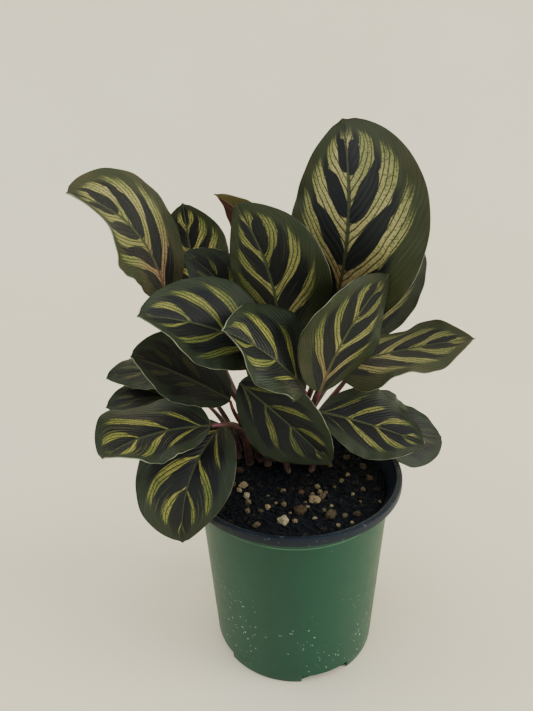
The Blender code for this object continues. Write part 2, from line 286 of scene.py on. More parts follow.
def show(name, data, finish=None):
    """Put a mesh, a lamp or a camera in the scene as an object of its own."""
    shown = bpy.data.objects.new(name, data)
    bpy.context.collection.objects.link(shown)
    if finish:
        data.materials.clear()
        data.materials.append(finish)
    return shown


def mesh_of(shape, name):
    """The mesh of a shape that was built face by face, shaded smooth. The shape goes."""
    mesh = bpy.data.meshes.new(name)
    shape.to_mesh(mesh)
    shape.free()
    mesh.shade_smooth()
    return mesh


def turned_mesh(name, profile, sides):
    """A profile of (radius, height) in millimetres turned about the pot's axis."""
    mesh = bpy.data.meshes.new(name)
    points = [(radius * MM, 0.0, height * MM) for radius, height in profile]
    mesh.from_pydata(points, [(i, i + 1) for i in range(len(points) - 1)], [])
    turned = show(name, mesh)
    turn = turned.modifiers.new("turn", "SCREW")
    turn.steps = sides
    turn.render_steps = sides
    turn.use_merge_vertices = True
    turn.merge_threshold = 0.00001
    return plain_copy(turned, name)


lip_under = POT_HEIGHT - LIP_DEPTH
lip_inside = RIM_RADIUS - LIP_WIDTH
foot_inside = FOOT_RADIUS - POT_WALL
pot_profile = [
    (0.0, POT_FLOOR),
    (foot_inside, POT_FLOOR),
    (SHOULDER_RADIUS - POT_WALL, SHOULDER_Z),
    (NECK_RADIUS - POT_WALL, lip_under),
    (lip_inside, POT_HEIGHT - 1.0),
    (lip_inside + 0.3, POT_HEIGHT - 0.3),
    (lip_inside + 1.0, POT_HEIGHT),
    (RIM_RADIUS - 1.0, POT_HEIGHT),
    (RIM_RADIUS - 0.3, POT_HEIGHT - 0.3),
    (RIM_RADIUS, POT_HEIGHT - 1.0),
    (RIM_RADIUS, lip_under + 0.3),
    (RIM_RADIUS - 0.3, lip_under),
    (NECK_RADIUS + 0.2, lip_under),
    (NECK_RADIUS - 0.1, lip_under - 0.4),
    (SHOULDER_RADIUS + 0.5, SHOULDER_Z + 0.9),
    (SHOULDER_RADIUS + 0.1, SHOULDER_Z + 0.2),
    (SHOULDER_RADIUS, SHOULDER_Z - 0.6),
    (FOOT_RADIUS + 0.9, 15.0),
    (FOOT_RADIUS + 0.35, 6.0),
    (FOOT_RADIUS, 1.0),
    (FOOT_RADIUS - 0.3, 0.3),
    (FOOT_RADIUS - 1.0, 0.0),
    (0.0, 0.0),
]
pot = show("nursery_pot", turned_mesh("nursery_pot", pot_profile, 144), pot_finish())
notches = bmesh.new()
for angle in NOTCH_ANGLES:
    bmesh.ops.create_cube(
        notches,
        size=1.0,
        matrix=Matrix.Rotation(math.radians(angle), 4, "Z")
        @ Matrix.Translation(((FOOT_RADIUS + NOTCH_DEPTH) * MM, 0.0, 0.0))
        @ Matrix.Diagonal((4 * NOTCH_DEPTH * MM, NOTCH_WIDTH * MM, 2 * NOTCH_HEIGHT * MM, 1.0)),
    )
notch_cutter = show("notches", mesh_of(notches, "notches"))
opening = pot.modifiers.new("notches", "BOOLEAN")
opening.object = notch_cutter
pot_mesh = plain_copy(pot, "nursery_pot")
bpy.data.objects.remove(notch_cutter)
pot_mesh.shade_smooth()
pot_mesh.set_sharp_from_angle(angle=math.radians(40))
pot = show("nursery_pot", pot_mesh)
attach(pot, "root")
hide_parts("pot")


# THE POTTING MIX
# Damp, nearly black peat and fine bark, filled in to 8 mm under the pot's rim.
# It is firmed round the stalks, uneven on top, and strewn with crumbs of itself.

SOIL_TOP = 100.5
SOIL_EDGE = 48.7
SOIL_SHOWN = 12.0
# Where each stalk comes out of the mix: x and y. A stub adds its height and its lean in degrees.
STALK_FEET = {
    "01": (-18, 31), "02": (-23, 36), "03": (-14, 26), "04": (-9, 31), "05": (-6, 24), "06": (0, 26),
    "07": (5, 33), "08": (4, 17), "09": (-11, 20), "10": (-5, 18), "11": (9, 23), "12": (-17, 20),
    "13": (-29, 29), "14": (-29, 22), "15": (-23, 18), "16": (-22, 25), "17": (-13, 14), "18": (10, 17),
    "19": (12, 33), "20": (-15, 37), "21": (-6, 38), "22": (2, 40),
}
STUBS = {"stub_01": (-2, 8, 13.0, -8.0), "stub_02": (9, 9, 11.0, 10.0)}


def soil_height(x, y):
    """How high the mix stands at a place, in millimetres."""
    out = math.hypot(x, y) / SHOULDER_RADIUS
    lump = noise.noise(Vector((x / 8.0, y / 8.0, 0.0)))
    return SOIL_TOP + (1 - out * out) + 0.9 * lump * (1 - out ** 6)


def mix_mesh():
    """Rings of fine faces with a rough top, closed by a wall and a flat underside.

    Only the uppermost part of the mix is made, because the pot hides the rest.
    """
    rings, sides = 64, 200
    shape = bmesh.new()
    bmesh.ops.create_circle(shape, segments=sides, radius=SOIL_EDGE * MM, cap_ends=True)
    top = shape.faces[:]
    for ring in range(rings, 1, -1):
        share = (ring - 1) / ring
        bmesh.ops.inset_individual(shape, faces=top, thickness=0.0)
        for vertex in top[0].verts:
            vertex.co *= share
    for vertex in shape.verts:
        x, y = vertex.co.x / MM, vertex.co.y / MM
        crumb = 0.9 * noise.fractal(Vector((x, y, 3.0)) / 3.2, 0.9, 2.1, 4)
        vertex.co.z = (soil_height(x, y) + crumb - 0.3) * MM
    wall = bmesh.ops.extrude_edge_only(shape, edges=[edge for edge in shape.edges if edge.is_boundary])
    rim = [item for item in wall["geom"] if isinstance(item, bmesh.types.BMVert)]
    for vertex in rim:
        vertex.co = Vector((vertex.co.x, vertex.co.y, (SOIL_TOP - SOIL_SHOWN) * MM))
    bmesh.ops.contextual_create(shape, geom=rim)
    bmesh.ops.recalc_face_normals(shape, faces=shape.faces)
    return mesh_of(shape, "potting_mix")


def mix_finish():
    """Earth: near-black lumps with browner ones, matt, and damp in the hollows."""
    finish, tree = blank_finish("potting_mix")
    place = place_of(tree)
    lumps = clouds(place, 420.0, 4.0, 0.65)
    patches = clouds(place, 95.0, 2.0)
    fine = clouds(place, 1900.0, 3.0, 0.7)
    tone = ease(lumps * 0.7 + patches * 0.5, 0.52, 0.78)
    color = blend(tone, hue(9, 14, 20), hue(23, 27, 32))
    roughness = 1.0 - ease(patches, 0.7, 0.3) * 0.3
    return coated(finish, color, roughness, 0.15, lumps + fine * 0.5, 1.2, 0.8)


mix = show("potting_mix", mix_mesh(), mix_finish())
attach(mix, "root")
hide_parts("soil")


def plain(title):
    """A socket's title as a Python name."""
    return title.lower().replace(" ", "_")


def node_group(name, result, **sockets):
    """A new tree with inputs, listed by kind, and one output. Gives the wires that bring them in."""
    tree = bpy.data.node_groups.new(name, "GeometryNodeTree")
    for kind, titles in sockets.items():
        for title in titles:
            tree.interface.new_socket(title, in_out="INPUT", socket_type="NodeSocket" + kind)
    tree.interface.new_socket(result, in_out="OUTPUT", socket_type="NodeSocketGeometry")
    entry = tree.nodes.new("NodeGroupInput")
    wires = {plain(output.name): Wire(tree, output) for output in entry.outputs if output.name}
    return tree, SimpleNamespace(**wires)


def keep(shape, name, value, kind="FLOAT_VECTOR", domain="POINT"):
    """Store a value on a shape under a name, for its material to read."""
    inputs = {"Geometry": shape, "Name": name, "Value": value}
    return step(shape.tree, "GeometryNodeStoreNamedAttribute", inputs, data_type=kind, domain=domain)


def hand_out(shape, finish):
    """The end of a tree: its shape is shaded smooth, given its material and passed on."""
    smooth = step(shape.tree, "GeometryNodeSetShadeSmooth", {"Geometry": shape})
    clad = step(shape.tree, "GeometryNodeSetMaterial", {"Geometry": smooth, "Material": finish})
    feed(shape.tree, shape.tree.nodes.new("NodeGroupOutput").inputs[0], clad)


class Arrow(Wire):
    """A vector in a node tree, in the same way as a number."""

    def __add__(self, other):
        return reckon_arrows("ADD", self, other)

    def __sub__(self, other):
        return reckon_arrows("SUBTRACT", self, other)

    def __mul__(self, factor):
        inputs = {0: self, "Scale": factor}
        made = step(self.tree, "ShaderNodeVectorMath", inputs, operation="SCALE")
        return Arrow(self.tree, made.socket)


def reckon_arrows(operation, *arrows):
    """One vector node on arrows."""
    tree = arrows[0].tree
    made = step(tree, "ShaderNodeVectorMath", dict(enumerate(arrows)), operation=operation)
    return Arrow(tree, made.socket)


def scatter_tree():
    """Lumps thrown over a surface and turned at random, each with a tone of its own."""
    numbers = ["Count per m2", "Reach", "Smallest", "Largest", "Flatness", "Roughness of shape"]
    sockets = dict(Geometry=["Ground"], Float=numbers, Int=["Seed"], Material=["Finish"])
    tree, given = node_group("strewn_lumps", "Lumps", **sockets)
    spot = step(tree, "GeometryNodeInputPosition")
    x, y, _ = split(spot)
    near = root(x * x + y * y) < given.reach
    facing_up = split(step(tree, "GeometryNodeInputNormal"))[2] > 0.3
    thrown = step(tree, "GeometryNodeDistributePointsOnFaces", {
        "Mesh": given.ground,
        "Selection": near * facing_up,
        "Density": given.count_per_m2,
        "Seed": given.seed,
    })
    ball = step(tree, "GeometryNodeMeshIcoSphere", {"Radius": 0.5, "Subdivisions": 2})
    dents = {"Vector": spot, "Scale": 3.1, "Detail": 1.0}
    dent = step(tree, "ShaderNodeTexNoise", dents, output="Color")
    push = (Arrow(tree, dent.socket) - (0.5, 0.5, 0.5)) * given.roughness_of_shape
    rough = step(tree, "GeometryNodeSetPosition", {"Geometry": ball, "Offset": push})
    squeezed = joined(tree, 1.0, 0.8, given.flatness)
    lump = step(tree, "GeometryNodeTransform", {"Geometry": rough, "Scale": squeezed})
    turns = {0: (-0.5, -0.5, 0.0), 1: (0.5, 0.5, 6.28)}
    spin = step(tree, "FunctionNodeRandomValue", turns, data_type="FLOAT_VECTOR")
    sizes = {2: given.smallest, 3: given.largest, "Seed": 7}
    size = step(tree, "FunctionNodeRandomValue", sizes, output=1, data_type="FLOAT")
    laid = {"Points": thrown, "Instance": lump, "Rotation": spin, "Scale": size}
    strewn = step(tree, "GeometryNodeInstanceOnPoints", laid)
    tone = step(tree, "FunctionNodeRandomValue", {"Seed": 3}, output=1, data_type="FLOAT")
    toned = keep(strewn, "tone", tone, "FLOAT", "INSTANCE")
    hand_out(step(tree, "GeometryNodeRealizeInstances", {"Geometry": toned}), given.finish)
    return tree


def with_nodes(name, tree, mesh=None, **inputs):
    """A plain mesh made by a node tree with these named inputs, from another mesh or from none."""
    blank = show(name, mesh or bpy.data.meshes.new("blank"))
    made = blank.modifiers.new(name, "NODES")
    made.node_group = tree
    for item in tree.interface.items_tree:
        if item.in_out == "INPUT" and plain(item.name) in inputs:
            made[item.identifier] = inputs[plain(item.name)]
    return plain_copy(blank, name)


def loose_finish(name, dark, light, depth):
    """Lumps of one kind, each a little lighter or darker than the next."""
    finish, tree = blank_finish(name)
    place = place_of(tree)
    tone = step(tree, "ShaderNodeAttribute", output="Fac", attribute_name="tone")
    stain = clouds(place, 700.0, 4.0, 0.6)
    pores = clouds(place, 2600.0, 2.0, 0.6)
    mixed = ease(tone * 0.6 + stain * 0.7, 0.25, 0.95)
    color = blend(mixed, dark, light)
    pitted = blend(ease(pores, 0.48, 0.36), color, dark)
    return coated(finish, pitted, 0.92, 0.2, stain + pores * 0.6, depth, 0.8)


PEAT = loose_finish("peat", hue(8, 12, 17), hue(26, 28, 31), 0.4)
BARK = loose_finish("bark", hue(13, 13, 14), hue(50, 43, 36), 0.5)
CRUMBS = dict(count_per_m2=240000.0, reach=47.6 * MM, smallest=0.9 * MM, largest=2.8 * MM,
              flatness=0.7, roughness_of_shape=0.7, seed=4, finish=PEAT)
CHIPS = dict(count_per_m2=18000.0, reach=46.5 * MM, smallest=2.0 * MM, largest=4.5 * MM,
             flatness=0.35, roughness_of_shape=0.9, seed=9, finish=BARK)
scatter = scatter_tree()
for name, litter in (("peat_crumbs", CRUMBS), ("bark_chips", CHIPS)):
    lumps = show(name, with_nodes(name, scatter, mix.data.copy(), **litter))
    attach(lumps, "root")


# THE GRAINS IN THE MIX
# Porous pumice and perlite, cream to tan, and a few lumps of brown bark, each a little sunk.
# Those that show in front of the stalks have places of their own, and the rest are strewn.

# Each grain: x, y and its size across
LARGE_GRAINS = [(-7, -35, 5.5), (10, -19, 6.0), (17, -31, 5.6), (2, -27, 6.4), (30, -30, 4.0)]
LARGE_KINDS = ["white", "tan", "olive", "bark", "olive"]
LOOSE_GRAINS = 15
GRAIN_SIZES = (2.6, 4.4)
GRAIN_SUNK = 0.3
GRAIN_FLATNESS = 0.75
GRAIN_SEED = 11
CLEAR_OF_STALKS = 3.5
CLEAR_OF_GRAINS = 1.0
LOOSE_KINDS = ["tan", "olive", "bark", "olive"]
SMALL_KINDS = ["tan", "tan", "tan", "olive", "white"]
KIND_SEED = 5
SMALL_GRAINS = [
    (14, -16, 4.0), (13, -12, 3.4), (12, -7, 3.0), (16, -12, 2.4), (9, -14, 2.2), (-1, -35, 2.6),
    (24, -31, 2.8), (-27, -5, 4.4), (-25, -14, 4.0), (-29, -9, 3.6), (-24, -19, 3.2), (-20, -37, 3.6),
    (43, -20, 1.8), (30, -14, 2.0), (-6, -11, 3.0), (9, -33, 2.2), (20, -38, 2.2), (5, -20, 1.8),
    (36, -8, 1.6), (18, -23, 2.0), (-10, -20, 1.8), (14, -27, 2.6), (6, -24, 2.0), (-14, -14, 2.0),
    (27, -36, 2.0), (21, -8, 1.8), (33, -20, 1.6), (-3, -28, 1.6),
]
GRAIN_FINISHES = {
    "white": loose_finish("perlite", hue(112, 102, 78), hue(190, 178, 146), 0.6),
    "tan": loose_finish("pumice", hue(78, 69, 50), hue(162, 146, 110), 0.8),
    "olive": loose_finish("weathered_pumice", hue(46, 41, 30), hue(118, 104, 76), 0.6),
    "bark": loose_finish("bark_lumps", hue(28, 22, 16), hue(88, 70, 50), 0.8),
}


def grain_places():
    """The large grains, then loose ones scattered clear of the stalks and of each other."""
    feet = list(STALK_FEET.values()) + [stub[:2] for stub in STUBS.values()]
    draw = random.Random(GRAIN_SEED)
    grains = list(LARGE_GRAINS)
    reach = FOOT_RADIUS + (SHOULDER_RADIUS - FOOT_RADIUS) * SOIL_TOP / SHOULDER_Z - POT_WALL
    while len(grains) < len(LARGE_GRAINS) + LOOSE_GRAINS:
        angle = draw.uniform(0.0, 2 * math.pi)
        out = (reach - 2 * GRAIN_SIZES[1]) * math.sqrt(draw.random())
        x = out * math.cos(angle)
        y = out * math.sin(angle)
        size = draw.uniform(*GRAIN_SIZES)
        off_stalks = all(math.dist((x, y), foot) > size / 2 + CLEAR_OF_STALKS for foot in feet)
        gaps = [math.dist((x, y), grain[:2]) - (size + grain[2]) / 2 for grain in grains]
        off_grains = min(gaps) > CLEAR_OF_GRAINS
        if off_stalks and off_grains:
            grains.append((x, y, size))
    return grains


def grain_lump(shape, x, y, size, draw):
    """A broken, rounded lump lying in the mix."""
    height = soil_height(x, y) + (0.5 - GRAIN_SUNK) * GRAIN_FLATNESS * size
    spin = Matrix.Rotation(draw.uniform(0.0, math.pi), 4, "Z")
    tilt = Matrix.Rotation(draw.uniform(-0.4, 0.4), 4, "X")
    flat = Matrix.Diagonal((1.0, draw.uniform(0.7, 0.95), GRAIN_FLATNESS, 1.0))
    made = bmesh.ops.create_icosphere(shape, subdivisions=4, radius=0.5)
    offset = Vector((x, y, size)) * 3.7
    tone = draw.random()
    for vertex in made["verts"]:
        way = vertex.co.normalized()
        swell = 0.2 * noise.noise(way * 1.8 + offset) + 0.08 * noise.noise(way * 5.0 + offset)
        vertex.co = way * (0.5 + swell)
        vertex[shape.verts.layers.float["tone"]] = tone
    place = Matrix.Translation(Vector((x, y, height)) * MM) @ spin @ tilt @ flat
    bmesh.ops.transform(shape, matrix=place @ Matrix.Scale(size * MM, 4), verts=made["verts"])


grain_draw = random.Random(GRAIN_SEED)
kind_draw = random.Random(KIND_SEED)
grains_laid = grain_places()
placed = list(zip(grains_laid, LARGE_KINDS))
placed += [(grain, kind_draw.choice(LOOSE_KINDS)) for grain in grains_laid[len(LARGE_GRAINS):]]
placed += [(grain, kind_draw.choice(SMALL_KINDS)) for grain in SMALL_GRAINS]
for kind, finish in GRAIN_FINISHES.items():
    shape = bmesh.new()
    shape.verts.layers.float.new("tone")
    for (x, y, size), own_kind in placed:
        if own_kind == kind:
            grain_lump(shape, x, y, size, grain_draw)
    grains = show("grains_" + kind, mesh_of(shape, "grains_" + kind), finish)
    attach(grains, "root")


# THE LEAF BLADES
# Thin waved leaves, satin above and red-brown beneath, with a pale edge and a grooved midrib.
# Above, dark blotches lie between pale stripes that sweep from the midrib towards the point.

WIDEST_AT = 0.47
FULL_AT_STALK = 0.60
FULL_AT_POINT = 0.78
CUP = -0.05
WAVES_PER_SIDE = 1.5
LEAF_THICKNESS = 0.45
VEINS_ALONG = 22.0
BLOTCH_SPACING = 0.24
FIRST_BLOTCH = 0.11
BOX_MARGIN = 0.3
# One entry a leaf, in millimetres and degrees. base and tip: its two ends. width: across both halves.
# turn: how far the upper face is rolled about the line from base to tip, 0 where it faces the sky.
# arch and sway bow the midrib off that line, fold lifts the two halves, twist turns tip against base.
# lop makes the right half the wider. left and right: height and phase of the ripple along each margin.
# arrive: the direction in which the stalk reaches the blade, else it leans between the blade and up.
# lift: how steeply a stalk without arrive comes up to its blade. knee: how far its joint swells.
# cream: 0 for thin green stripes on a dark blade, 1 for broad cream ones. stripes: how strong they are.
# blush: how red-brown the blade is at its base. shift: how far the markings are moved along it.
# PLAIN_LEAF holds what an entry doesn't say.
PLAIN_LEAF = dict(arch=0, sway=0, fold=10, twist=0, lop=0, left=(0.8, 0.3), right=(0.8, 0.0), lift=0.9,
                  knee=0.9, blush=0.0)
LEAF_SHAPES = {
    "01": dict(base=(-62, 15, 200), tip=(-97, -10, 259), width=59, turn=-48, arch=5, sway=12,
               twist=-37, left=(3.5, 0.85), right=(1.0, 0.25),
               cream=0.8, stripes=0.95, blush=0.9, shift=0.05),
    "02": dict(base=(-48, 51, 183), tip=(-54, 44, 241), width=43, turn=-112, arch=-2, fold=5,
               twist=5, left=(2.0, 0.4), right=(1.0, 0.95), cream=0.65, stripes=1.0, shift=0.5),
    "03": dict(base=(-26, 26, 183), tip=(-52, 16, 224), width=31, turn=-75, arch=4, sway=3,
               cream=0.0, stripes=0.5, shift=0.3),
    "04": dict(base=(-14, 28, 195), tip=(-36, 18, 251), width=28, turn=32, arch=10, sway=-4,
               fold=13, left=(1.5, 0.9), right=(2.0, 0.8),
               cream=0.2, stripes=0.3, blush=1.0, shift=0.1),
    "05": dict(base=(-7, 14, 179), tip=(-26, 8, 249), width=48, turn=-119, arch=2, sway=6, fold=6,
               twist=-16, lop=0.25, left=(0.5, 0.25), right=(3.5, 0.45),
               cream=0.65, stripes=0.9, blush=0.1, shift=0.1),
    "06": dict(base=(22, 25, 188), tip=(26, 46, 280), width=75, turn=-20, arch=10, sway=10, fold=16,
               twist=-4, lop=0.2, left=(3.5, 0.87), right=(2.0, 0.9),
               cream=1.0, stripes=1.0, blush=0.5, shift=-0.17),
    "07": dict(base=(44, 46, 164), tip=(65, 76, 214), width=44, turn=-11, arch=4, sway=6, fold=11,
               twist=-9, lop=0.05, left=(1.0, 0.3), right=(1.0, 0.35),
               cream=0.5, stripes=0.8, blush=0.1, shift=0.1),
    "08": dict(base=(12, -15, 163), tip=(44, -3, 217), width=40, turn=92, arch=2, sway=-5, fold=7,
               twist=-3, lop=-0.15, left=(2.5, 0.3), right=(2.0, 0.55), arrive=(0.2, -0.45, 0.85),
               knee=1.9, cream=0.6, stripes=0.8, blush=0.5, shift=0.1),
    "09": dict(base=(-13, -9, 180), tip=(-69, -28, 209), width=48, turn=-41, arch=1, sway=5, fold=13,
               twist=-27, lop=0.05, left=(3.0, 0.85), right=(2.0, 0.7),
               cream=0.25, stripes=0.9, shift=0.05),
    "10": dict(base=(5, -14, 163), tip=(-32, -36, 205), width=48, turn=-45, arch=2, sway=3, fold=11,
               twist=-15, lop=0.15, left=(4.5, 0.75), right=(3.5, 0.8), arrive=(-0.1, -0.4, 0.9),
               cream=0.2, stripes=0.92, shift=0.9),
    "11": dict(base=(21, 7, 164), tip=(88, -2, 183), width=51, turn=10, arch=1, sway=-2, fold=11,
               twist=18, lop=0.25, left=(5.0, 0.05), right=(5.0, 0.55),
               cream=0.8, stripes=0.8, blush=0.45, shift=0.1),
    "12": dict(base=(-32, -2, 152), tip=(-76, -18, 185), width=41, turn=-34, arch=-3, sway=5, fold=8,
               twist=9, lop=0.1, left=(1.5, 0.75), right=(1.5, 0.25), arrive=(-0.1, -0.3, 0.95),
               cream=0.0, stripes=0.18, shift=0.35),
    "13": dict(base=(-51, 36, 140), tip=(-100, 26, 151), width=35, turn=-14, arch=5, sway=3, fold=8,
               left=(1.5, 0.55), right=(2.5, 0.7), cream=0.2, stripes=0.3, shift=0.2),
    "14": dict(base=(-48, 26, 135), tip=(-99, 14, 140), width=37, turn=-15, arch=4, sway=2,
               left=(1.0, 0.3), right=(2.0, 0.7), cream=0.1, stripes=0.3, shift=0.9),
    "15": dict(base=(-41, -20, 148), tip=(-86, -52, 152), width=44, turn=-13, arch=-3, sway=9, fold=5,
               twist=-14, lop=0.1, left=(2.5, 0.75), right=(5.0, 0.1), lift=0.1,
               cream=0.15, stripes=0.95, shift=0.2),
    "16": dict(base=(-36, -5, 139), tip=(-56, -41, 95), width=50, turn=-19, arch=11, sway=5, fold=17,
               twist=10, lop=0.1, left=(0.5, 0.25), right=(5.0, 0.0),
               cream=0.2, stripes=0.9, blush=0.1, shift=0.25),
    "17": dict(base=(-27, 3, 159), tip=(18, -19, 124), width=42, turn=81, arch=4, sway=-3, twist=-7,
               lop=0.05, left=(0.8, 0.2), right=(0.8, 0.4), arrive=(-0.1, -0.55, 0.82),
               cream=0.2, stripes=0.6, shift=0.35),
    "18": dict(base=(13, -2, 144), tip=(67, -6, 126), width=39, turn=35, arch=1, sway=-1, twist=-4,
               left=(2.5, 0.7), right=(1.5, 0.1), arrive=(0.35, -0.3, 0.9),
               cream=0.3, stripes=0.82, shift=0.5),
    "19": dict(base=(38, 27, 138), tip=(87, 35, 104), width=43, turn=30, sway=7, fold=6, lop=0.15,
               left=(3.0, 0.95), right=(2.0, 0.85), cream=0.0, stripes=0.15, shift=0.95),
    "20": dict(base=(-28, 62, 158), tip=(-42, 106, 194), width=38, turn=0, arch=5, fold=12,
               cream=0.3, stripes=0.8, shift=0.1),
    "21": dict(base=(4, 66, 160), tip=(14, 113, 188), width=40, turn=0, arch=6, fold=12,
               cream=0.4, stripes=0.9, shift=0.5),
    "22": dict(base=(33, 69, 138), tip=(62, 108, 134), width=36, turn=0, arch=8, fold=10,
               cream=0.2, stripes=0.7, shift=0.8),
}
LEAVES = {number: {**PLAIN_LEAF, **shape} for number, shape in LEAF_SHAPES.items()}


def mottle(x, y, z, detail):
    """Soft noise where three numbers stand for the place."""
    return clouds(joined(x.tree, x, y, z), 1.0, detail)


def unit(arrow):
    """The same direction with a length of 1."""
    return reckon_arrows("NORMALIZE", arrow)


def dot(one, other):
    inputs = {0: one, 1: other}
    return step(one.tree, "ShaderNodeVectorMath", inputs, output="Value", operation="DOT_PRODUCT")


def sine(value):
    return reckon(value.tree, "SINE", value)


def cosine(value):
    return reckon(value.tree, "COSINE", value)


def wave(turns):
    """A sine wave, by whole turns."""
    return sine(turns * (2 * math.pi))


def vein_origin(along, out):
    """Where the vein through a place leaves the midrib, as a share of the blade's length."""
    return along - (out + out ** 3.0 * 0.25) * 0.46


def midrib_frame(given, base, line, along):
    """A point of the bowed midrib, the way to its right there, and the way up from the face."""
    chord = unit(line)
    up_axis = Arrow(line.tree, joined(line.tree, 0.0, 0.0, 1.0).socket)
    sky = unit(up_axis - chord * split(chord)[2])
    level_side = reckon_arrows("CROSS_PRODUCT", chord, sky)
    face = sky * cosine(given.turn) + level_side * sine(given.turn)
    beside = reckon_arrows("CROSS_PRODUCT", chord, face)
    bow = along * (1.0 - along) * 4.0
    slope = (1.0 - along * 2.0) * 4.0
    spine = base + line * along + face * (given.arch * bow) + beside * (given.sway * bow)
    heading = unit(line + face * (given.arch * slope) + beside * (given.sway * slope))
    level = unit(beside - heading * dot(beside, heading))
    normal = reckon_arrows("CROSS_PRODUCT", level, heading)
    twist = given.twist * (along - 0.5)
    right = level * cosine(twist) + normal * sine(twist)
    up = normal * cosine(twist) - level * sine(twist)
    return spine, right, up


def blade_reach(given, along, out, hand):
    """How far the sheet goes to one side: half of a full oval, drawn in to a fine point."""
    swell = at_least(sine(along ** (math.log(0.5) / math.log(WIDEST_AT)) * math.pi), 0.0)
    fullness = along * (FULL_AT_POINT - FULL_AT_STALK) + FULL_AT_STALK
    pinch = 1.0 - ease(along, 0.965, 0.99) * 0.45
    half = swell ** fullness * given.width * 0.5 * pinch
    return out * half * (given.lop * hand + 1.0)


def blade_waves(given, along, out, hand):
    """Broad ripples, a finer frill at the margin, quilting between the veins, and a grooved midrib."""
    is_right = hand > 0.0
    height = given.left_wave + (given.right_wave - given.left_wave) * is_right
    phase = given.left_phase + (given.right_phase - given.left_phase) * is_right
    fade = root(at_least(sine(along * math.pi), 0.0))
    ripple = height * out * out * fade * wave(along * WAVES_PER_SIDE + phase)
    frill = out ** 5.0 * fade * wave(along * 6.5 + phase + given.seed) * 0.35
    quilt = wave(vein_origin(along, out) * 8.4 + hand * 0.2) * fade * out * (1.0 - out) * 0.3
    groove = ease(out, 0.07, 0.0) * fade * -0.5
    return ripple + frill + quilt + groove


def in_cad_box(point):
    """The point, or the nearest one to it that is inside the CAD model's box, in millimetres."""
    lowest, highest = [Vector(corner) / MM for corner in cad_box]
    margin = Vector((BOX_MARGIN, BOX_MARGIN, BOX_MARGIN))
    point = reckon_arrows("MAXIMUM", point, lowest + margin)
    return reckon_arrows("MINIMUM", point, highest - margin)


def blade_tree(rows, columns):
    """A pointed oval sheet laid along a bowed midrib, folded, twisted and rippled.

    The sheet is worked out in millimetres and made small at the end. It keeps three things for its
    material: the UV map "blade" (along, across), "lie" (millimetres along and across, and the shift
    of its markings) and "mood" (cream, stripes and blush).
    """
    numbers = ["Width", "Turn", "Arch", "Sway", "Fold", "Twist", "Lop", "Seed"]
    numbers += ["Left wave", "Left phase", "Right wave", "Right phase"]
    sockets = dict(Vector=["Base", "Tip", "Mood"], Float=numbers, Material=["Finish"])
    tree, given = node_group("leaf_blade", "Blade", **sockets)
    base = Arrow(tree, given.base.socket)
    line = Arrow(tree, given.tip.socket) - base

    sheet = {"Size X": 1.0, "Size Y": 2.0, "Vertices X": rows, "Vertices Y": columns}
    flat = step(tree, "GeometryNodeMeshGrid", sheet)
    even, across, _ = split(step(tree, "GeometryNodeInputPosition"))
    along = 0.5 - cosine((even + 0.5) * math.pi) * 0.5
    hand = reckon(tree, "SIGN", across)
    out = abs(across)

    spine, right, up = midrib_frame(given, base, line, along)
    reach = blade_reach(given, along, out, hand)
    rise = reach * sine(given.fold) + reach * out * CUP + blade_waves(given, along, out, hand)
    point = spine + right * (hand * reach * cosine(given.fold)) + up * rise

    length = root(dot(line, line))
    laid = keep(flat, "blade", joined(tree, along, across * 0.5 + 0.5, 0.0), "FLOAT2", "CORNER")
    laid = keep(laid, "lie", joined(tree, along * length, reach, given.seed))
    laid = keep(laid, "mood", given.mood)
    placed = {"Geometry": laid, "Position": in_cad_box(point) * MM}
    shaped = step(tree, "GeometryNodeSetPosition", placed)
    sewn = step(tree, "GeometryNodeMergeByDistance", {"Geometry": shaped, "Distance": 0.002 * MM})
    hand_out(step(tree, "GeometryNodeFlipFaces", {"Mesh": sewn}), given.finish)
    return tree


def kept(tree, name):
    """The three numbers that a mesh keeps under a name."""
    return split(step(tree, "ShaderNodeAttribute", output="Vector", attribute_name=name))


def leaf_place(tree):
    """What a blade keeps about a place on it, for the materials of both faces."""
    along, across, _ = split(step(tree, "ShaderNodeUVMap", uv_map="blade"))
    side = across * 2.0 - 1.0
    run, reach, seed = kept(tree, "lie")
    cream, strength, blush = kept(tree, "mood")
    return SimpleNamespace(
        along=along, side=side, out=abs(side), run=run, reach=reach, seed=seed,
        cream=cream, green=1.0 - cream, strength=strength, faint=1.0 - strength, blush=blush,
    )


def find_blotch(at):
    """Add the vein through a place, the dark blotch nearest to it, and the noise that frays edges.

    Blotches are ovals that start at the midrib, follow the veins and reach furthest near the stalk.
    """
    at.hand = reckon(at.side.tree, "SIGN", at.side)
    at.lazy = mottle(at.along * 3.0, at.side * 1.5, at.seed * 7.0, 2.0)
    at.vein = vein_origin(at.along, at.out) + (at.lazy - 0.5) * 0.05
    turn = (at.vein + at.hand * 0.012 - FIRST_BLOTCH) / (at.green * 0.035 + BLOTCH_SPACING) + at.seed
    number = reckon(turn.tree, "ROUND", turn)
    at.off_center = abs(turn - number) * 2.0
    at.luck = ease(mottle(number * 5.3, at.hand * 7.7, at.seed * 9.0 + 2.3, 0.0), 0.3, 0.7)
    at.fringe = mottle(at.vein * 75.0, at.out * 1.6, at.seed * 9.0, 1.0) - 0.5
    at.ragged = mottle(at.vein * 18.0, at.hand * 3.0, at.seed * 5.0, 1.0) - 0.5
    far = (at.vein - 0.2) / 0.75
    at.blotch_end = at_least((1.0 - far * far) * (0.69 - at.cream * 0.08) + at.ragged * 0.12, 0.12)


